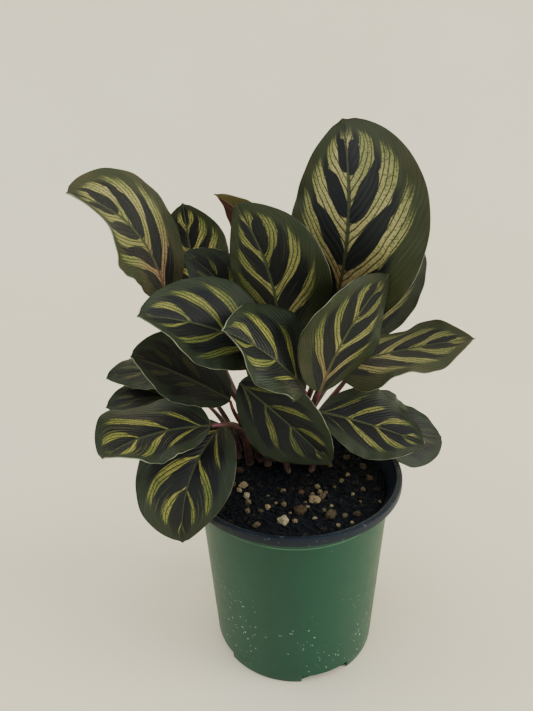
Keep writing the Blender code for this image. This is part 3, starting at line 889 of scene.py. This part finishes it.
def stripe_breadth(at, bound):
    """How broad a stripe is at a place, with 1 where it meets the next.

    On green leaves it is thin and opens towards the margin, or swells and narrows again where it is
    faint. On cream leaves it fills all that the blotches leave.
    """
    opened = ease(at.out, at.faint * 0.3 - 0.02, 0.42) * (at.luck * 0.24 + 0.31)
    travelled = at_most(at_least((at.out - 0.1) / at_least(bound - 0.1, 0.1), 0.0), 1.0)
    lens = at_least(sine(travelled * math.pi), 0.0) ** 0.7
    opened = opened + (lens * (at.luck * 0.16 + 0.32) - opened) * ease(at.faint, 0.05, 0.3)
    reached = at_most(at.out / at.blotch_end, 1.0)
    bulge = at_least(sine((reached ** 0.8) * math.pi), 0.0) ** 0.75
    blotch = at_least(bulge * (0.62 + at.luck * 0.1), ease(reached, 0.75, 1.0) * 0.3)
    return opened * at.green + (1.0 - blotch) * at.cream


def find_stripe(at):
    """Add how much a stripe covers a place, and how far towards its outer end the place is."""
    near_end = (at.along - 0.4) / 0.64
    oval = 1.0 - near_end * near_end * near_end * near_end
    bound = oval * (0.72 + at.cream * 0.12 - at.faint * 0.35 + (at.luck - 0.5) * at.green * 0.3)
    bound = bound + at.ragged * 0.22 + at.fringe * 0.3
    at.share = at.out / at_least(bound, 0.05)
    taper = at_least(1.0 - (at.share ** 4.0) * (at.green * 0.6), 0.0)
    within = stripe_breadth(at, bound) * taper - at.off_center + at.fringe * 0.12
    stripe = ease(within, 0.0, 0.07) * ease(at.share, 1.05, 0.88) * ease(at.along, 0.95, 0.87)
    stripe = stripe * ease(at.vein, -0.04, 0.02) * ease(at.out, 0.012, 0.05)
    thin = ease(mottle(at.vein * 42.0, at.out * 1.2, at.seed * 4.0, 1.0), 0.57, 0.68)
    thin = thin * ease(at.out, 0.2, 0.45) * ease(at.out, bound + 0.14, bound - 0.1) * 0.5
    at.stripe = at_least(stripe, thin * at.green * (1.0 - ease(at.faint, 0.05, 0.3)))


def find_threads(at):
    """Add the fine veins that run along a stripe, and the ticks that cross it between them."""
    lines = at.vein * VEINS_ALONG + (at.lazy - 0.5) * 2.0
    at.thread = abs(reckon(lines.tree, "FRACT", lines) - 0.5)
    slant = at.run + abs(at.reach) * (1.0 - at.out * 0.7)
    at.ticks = ease(mottle(slant * 1.5, at.vein * 42.0, at.seed, 1.0), 0.5, 0.62)


def stripe_color(at):
    """Yellow-green to cream, rosy near the stalk on some leaves, with dark veins and ticks."""
    bright = blend(at.cream, hue(146, 148, 64), hue(176, 168, 108))
    deep = blend(at.cream, hue(100, 110, 46), hue(142, 143, 82))
    pale = blend(ease(at.lazy, 0.35, 0.65), bright, deep)
    rosy = blend(at.blush * ease(at.along, 0.5, 0.1), pale, hue(158, 120, 90))
    lit = blend(ease(at.share, 0.55, 1.0) * 0.5, rosy, hue(82, 100, 44))
    ticked = blend(at.ticks * 0.6, lit, hue(48, 56, 32))
    veins = ease(at.thread, at.green * 0.03 + 0.15, at.green * 0.03 + 0.07)
    return blend(veins * 0.9, ticked, hue(28, 33, 22))


def field_color(at):
    """Near-black blotches and, beyond them, a streaky dark green margin."""
    shade = mottle(at.run * 0.05, at.reach * 0.05, at.seed * 3.0, 3.0)
    blotch = blend(ease(shade, 0.35, 0.65), hue(20, 23, 24), hue(29, 32, 29))
    margin = blend(at.cream, hue(36, 46, 33), hue(50, 56, 31))
    margin = blend(at.blush * ease(shade, 0.45, 0.65) * 0.5, margin, hue(84, 70, 44))
    streak = mottle(at.vein * 90.0, at.out * 1.5, at.seed * 2.0, 2.0)
    margin = blend(ease(streak, 0.45, 0.7) * 0.3, margin, hue(62, 72, 46))
    beyond = (at.out - at.blotch_end) * (0.5 + at.cream * 0.5) + (1.0 - at.off_center) * 0.1
    beyond = beyond + (shade - 0.5) * 0.15 + at.fringe * 0.08
    field = blend(ease(beyond, 0.0, 0.12), blotch, margin)
    return blend(ease(at.thread, 0.14, 0.0) * 0.3, field, hue(24, 28, 22))


def leaf_top_finish():
    """The upper face: pale stripes along the veins, dark blotches between them, and the midrib."""
    finish, tree = blank_finish("leaf_above")
    at = leaf_place(tree)
    find_blotch(at)
    find_stripe(at)
    find_threads(at)
    color = blend(at.stripe * at.strength, field_color(at), stripe_color(at))
    rib_width = 0.95 + at.cream * 0.45 - at.along * (0.65 + at.cream * 0.25)
    rib = ease(abs(at.reach), rib_width, rib_width * 0.5)
    rib_color = blend(at.blush * ease(at.along, 0.4, 0.05), hue(72, 80, 50), hue(110, 82, 58))
    color = blend(rib * 0.8, color, rib_color)
    gloss = mottle(at.run * 0.12, at.reach * 0.12, at.seed, 2.0)
    cells = mottle(at.run * 3.0, at.reach * 3.0, at.seed, 2.0)
    height = ease(at.thread, 0.0, 0.4) + cells * 0.35 + at.ticks * -0.12
    return coated(finish, color, gloss * 0.14 + 0.4, 0.22, height, 0.22, 0.5)


def leaf_under_finish():
    """The lower face: dull red-brown, with raised veins, paler bands and a paler midrib.

    A leaf with full blush, the folded one, is olive on its left half.
    """
    finish, tree = blank_finish("leaf_beneath")
    at = leaf_place(tree)
    vein = vein_origin(at.along, at.out)
    thread = abs(reckon(tree, "FRACT", vein * VEINS_ALONG) - 0.5)
    stain = mottle(at.run * 0.09, at.reach * 0.09, at.seed * 3.0, 3.0)
    turn = (vein - FIRST_BLOTCH) / (BLOTCH_SPACING + 0.02) + at.seed
    band = ease(cosine(turn * (2 * math.pi)) * 0.5 + 0.5, 0.45, 0.85) * ease(at.out, 0.75, 0.5)
    ground = blend(ease(stain, 0.3, 0.7), hue(74, 37, 39), hue(98, 55, 51))
    ground = blend(band * 0.8, ground, hue(108, 74, 56))
    olive = ease(at.side, 0.02, -0.08) * ease(at.blush, 0.9, 1.0)
    ground = blend(olive, ground, hue(112, 104, 54))
    lined = blend(ease(thread, 0.1, 0.02) * 0.4, ground, hue(58, 34, 28))
    rib_width = 1.2 - at.along * 0.8
    rib = ease(abs(at.reach), rib_width, rib_width * 0.6)
    color = blend(rib, lined, hue(120, 88, 64))
    height = ease(thread, 0.4, 0.0) + rib * 3.0
    return coated(finish, color, stain * 0.15 + 0.45, 0.5, height, 0.25, 0.6)


def leaf_edge_finish():
    """The cut edge of the blade, which shows as a fine pale line."""
    finish, tree = blank_finish("leaf_margin")
    stain = clouds(place_of(tree), 160.0, 2.0)
    color = blend(ease(stain, 0.35, 0.65), hue(98, 104, 84), hue(138, 144, 118))
    return coated(finish, color, stain * 0.1 + 0.4)


LEAF_ABOVE = leaf_top_finish()
LEAF_BENEATH = leaf_under_finish()
LEAF_MARGIN = leaf_edge_finish()
leaf_blade = blade_tree(rows=97, columns=49)
for number, leaf in LEAVES.items():
    lengths = {part: float(leaf[part]) for part in ("width", "arch", "sway", "lop")}
    angles = {part: math.radians(leaf[part]) for part in ("turn", "fold", "twist")}
    made = with_nodes(
        "leaf_" + number, leaf_blade, base=leaf["base"], tip=leaf["tip"], **lengths, **angles,
        left_wave=leaf["left"][0], left_phase=leaf["left"][1],
        right_wave=leaf["right"][0], right_phase=leaf["right"][1],
        mood=(leaf["cream"], leaf["stripes"], leaf["blush"]), seed=leaf["shift"], finish=LEAF_ABOVE,
    )
    made.materials.clear()
    for finish in (LEAF_ABOVE, LEAF_BENEATH, LEAF_MARGIN):
        made.materials.append(finish)
    blade = show("leaf_" + number, made)
    wall = blade.modifiers.new("thickness", "SOLIDIFY")
    wall.thickness = LEAF_THICKNESS * MM
    wall.offset = 0.0
    wall.material_offset = 1
    wall.material_offset_rim = 2
    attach(blade, "root")
    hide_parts("blade_" + number)


# THE STALKS
# Each leaf has its own thin maroon stalk from the crown, wrapped low down in a papery sheath.
# Just under the blade it swells into a short joint, and two stalks have been cut to stubs.

STALK_RADIUS = 1.2
SHEATH_EXTRA = 1.0
SHEATH_LENGTH = 26.0
KNEE_LENGTH = 9.0
STALK_END_RADIUS = 0.8
STALK_DEPTH = 6.0
STALK_TO_BLADE = 0.9
STUB_RADIUS = 1.9


def stalk_tree():
    """A tube on one smooth curve, wider in its sheath and at its joint.

    It is worked out in millimetres and made small at the end. It keeps "climb" for its material: the
    length of stalk below a place and above it.
    """
    points = ["Foot", "Rising", "Arriving", "Top"]
    numbers = ["Radius", "Sheath", "Knee", "End"]
    tree, given = node_group("stalk", "Stalk", Vector=points, Float=numbers, Material=["Finish"])
    ends = {"Start": given.foot, "Start Handle": given.rising, "End Handle": given.arriving,
            "End": given.top, "Resolution": 72}
    path = step(tree, "GeometryNodeCurvePrimitiveBezierSegment", ends, mode="POSITION")
    run = step(tree, "GeometryNodeSplineParameter", output="Length")
    left = step(tree, "GeometryNodeCurveLength", {"Curve": path}) - run
    sheath = at_most(at_least(1.0 - (run - STALK_DEPTH) / SHEATH_LENGTH, 0.0), 1.0)
    fringe_top = STALK_DEPTH + SHEATH_LENGTH * 0.72
    fringe = ease(run, fringe_top, fringe_top - SHEATH_LENGTH * 0.04) * 0.12
    knee = at_least(1.0 - abs(left - KNEE_LENGTH / 2) / (KNEE_LENGTH / 2), 0.0)
    radius = given.radius + given.sheath * (sheath + fringe) + given.knee * knee
    radius = radius + (given.end - radius) * ease(left, 1.6, 0.2)
    noted = keep(path, "climb", joined(tree, run, left, 0.0))
    ring = step(tree, "GeometryNodeCurvePrimitiveCircle", {"Resolution": 14, "Radius": 1.0})
    swept = {"Curve": noted, "Profile Curve": ring, "Scale": radius, "Fill Caps": True}
    tube = step(tree, "GeometryNodeCurveToMesh", swept)
    small = step(tree, "GeometryNodeTransform", {"Geometry": tube, "Scale": (MM, MM, MM)})
    hand_out(small, given.finish)
    return tree


def stalk_finish():
    """Maroon skin with fine grain along it, straw-pink in the sheath and red-purple at the joint."""
    finish, tree = blank_finish("stalk_skin")
    place = place_of(tree)
    run, left, _ = kept(tree, "climb")
    streaks = clouds(stretched(place, (1600.0, 1600.0, 120.0)), 1.0, 2.0)
    stain = clouds(place, 140.0, 3.0)
    skin = blend(ease(stain, 0.3, 0.7), hue(50, 30, 31), hue(88, 54, 44))
    straw = blend(ease(streaks, 0.35, 0.65), hue(48, 34, 34), hue(92, 68, 60))
    wrapped = ease(run + (stain - 0.5) * 14.0, 28.0, 14.0)
    color = blend(wrapped, skin, straw)
    color = blend(ease(run, 10.0, 6.5) * 0.4, color, hue(150, 122, 102))
    color = blend(ease(left, 8.0, 5.0), color, hue(104, 52, 62))
    return coated(finish, color, streaks * 0.2 + 0.38, 0.5, streaks, 0.3, 0.6)


STALK_SKIN = stalk_finish()
stalk_shape = stalk_tree()
for number, leaf in LEAVES.items():
    base = Vector(leaf["base"])
    chord = (Vector(leaf["tip"]) - base).normalized()
    arrive = Vector(leaf.get("arrive", chord + Vector((0.0, 0.0, leaf["lift"])))).normalized()
    foot = Vector((*STALK_FEET[number], SOIL_TOP - STALK_DEPTH))
    top = base - STALK_TO_BLADE * arrive
    span = top - foot
    made = with_nodes(
        "stalk_" + number, stalk_shape,
        foot=foot, rising=foot + Vector((0.12 * span.x, 0.12 * span.y, 0.45 * span.z)),
        arriving=top - 0.3 * span.length * arrive, top=top,
        radius=STALK_RADIUS, sheath=SHEATH_EXTRA, knee=leaf["knee"], end=STALK_END_RADIUS,
        finish=STALK_SKIN,
    )
    stalk = show("leaf_stalk_" + number, made)
    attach(stalk, "root")
    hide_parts("stalk_" + number)
for name, (x, y, height, lean) in STUBS.items():
    foot = Vector((x, y, SOIL_TOP - STALK_DEPTH))
    along = Vector((math.sin(math.radians(lean)), 0.0, math.cos(math.radians(lean))))
    top = foot + (STALK_DEPTH + height) * along
    made = with_nodes(
        name, stalk_shape,
        foot=foot, rising=foot.lerp(top, 0.33), arriving=foot.lerp(top, 0.67), top=top,
        radius=STUB_RADIUS, sheath=0.0, knee=0.0, end=STUB_RADIUS * 0.9, finish=STALK_SKIN,
    )
    stub = show("cut_" + name, made)
    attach(stub, "root")
    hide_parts(name)


# THE STUDIO
# A pale floor that curves up behind the plant, soft light from a window on the right, from the
# room on the left and from above, and a camera where the photograph was taken.
# Sizes are in metres here, and angles in degrees. Only the lens is in millimetres.

FLOOR_FRONT = -2.5
FLOOR_BACK = 0.55
BEND_RADIUS = 0.5
WALL_TOP = 3.0
HALF_WIDTH = 3.0
LENS_LENGTH = 35.44
CAMERA_PLACE = (-0.0132, -0.3093, 0.3244)
CAMERA_PITCH = 64.29
CAMERA_ROLL = -1.26


def floor_finish():
    """Pale cream paint, with a faint drift in its tone."""
    finish, tree = blank_finish("floor")
    tone = clouds(place_of(tree), 4.0, 3.0)
    color = blend(ease(tone, 0.2, 0.8), hue(245, 236, 208), hue(250, 242, 215))
    return coated(finish, color, 0.55)


floor_line = [(FLOOR_FRONT, 0.0), (FLOOR_BACK, 0.0)]
for angle in np.linspace(0.1, math.pi / 2, 16):
    rise = BEND_RADIUS * (1.0 - math.cos(angle))
    floor_line.append((FLOOR_BACK + BEND_RADIUS * math.sin(angle), rise))
floor_line.append((FLOOR_BACK + BEND_RADIUS, WALL_TOP))
sweep = bmesh.new()
rows = [[sweep.verts.new((x, y, z)) for y, z in floor_line] for x in (-HALF_WIDTH, HALF_WIDTH)]
for i in range(len(floor_line) - 1):
    sweep.faces.new((rows[0][i], rows[1][i], rows[1][i + 1], rows[0][i + 1]))
floor = show("floor", mesh_of(sweep, "floor"), floor_finish())
floor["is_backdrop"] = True


def soft_light(name, place, aim, size, power, color):
    """A square lamp at a place, turned to face another."""
    lamp = bpy.data.lights.new(name, "AREA")
    lamp.shape = "SQUARE"
    lamp.size = size
    lamp.energy = power
    lamp.color = color
    light = show(name, lamp)
    light.location = place
    light.rotation_euler = (Vector(aim) - Vector(place)).to_track_quat("-Z", "Y").to_euler()


soft_light("window", (1.25, -0.35, 0.7), (0.0, 0.0, 0.12), 0.8, 14.0, (1.0, 0.96, 0.87))
soft_light("room", (-1.2, 0.3, 1.1), (0.0, 0.0, 0.15), 1.2, 8.0, (0.96, 0.98, 1.0))
soft_light("ceiling", (0.0, -0.2, 1.9), (0.0, 0.0, 0.1), 1.6, 7.0, (1.0, 1.0, 1.0))

world = bpy.data.worlds.new("studio")
bpy.context.scene.world = world
world.use_nodes = True
world.node_tree.nodes["Background"].inputs["Color"].default_value = (0.84, 0.87, 0.88, 1.0)

lens = bpy.data.cameras.new("camera")
lens.sensor_width = 36.0
lens.lens = LENS_LENGTH
lens.clip_start = 0.01
camera = show("camera", lens)
camera.matrix_world = (
    Matrix.Translation(CAMERA_PLACE)
    @ Matrix.Rotation(math.radians(CAMERA_PITCH), 4, "X")
    @ Matrix.Rotation(math.radians(CAMERA_ROLL), 4, "Z")
)
bpy.context.scene.camera = camera

boxes = {"cad": cad_box, "visual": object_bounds()}
boxes = {name: [[float(value) for value in corner] for corner in box] for name, box in boxes.items()}
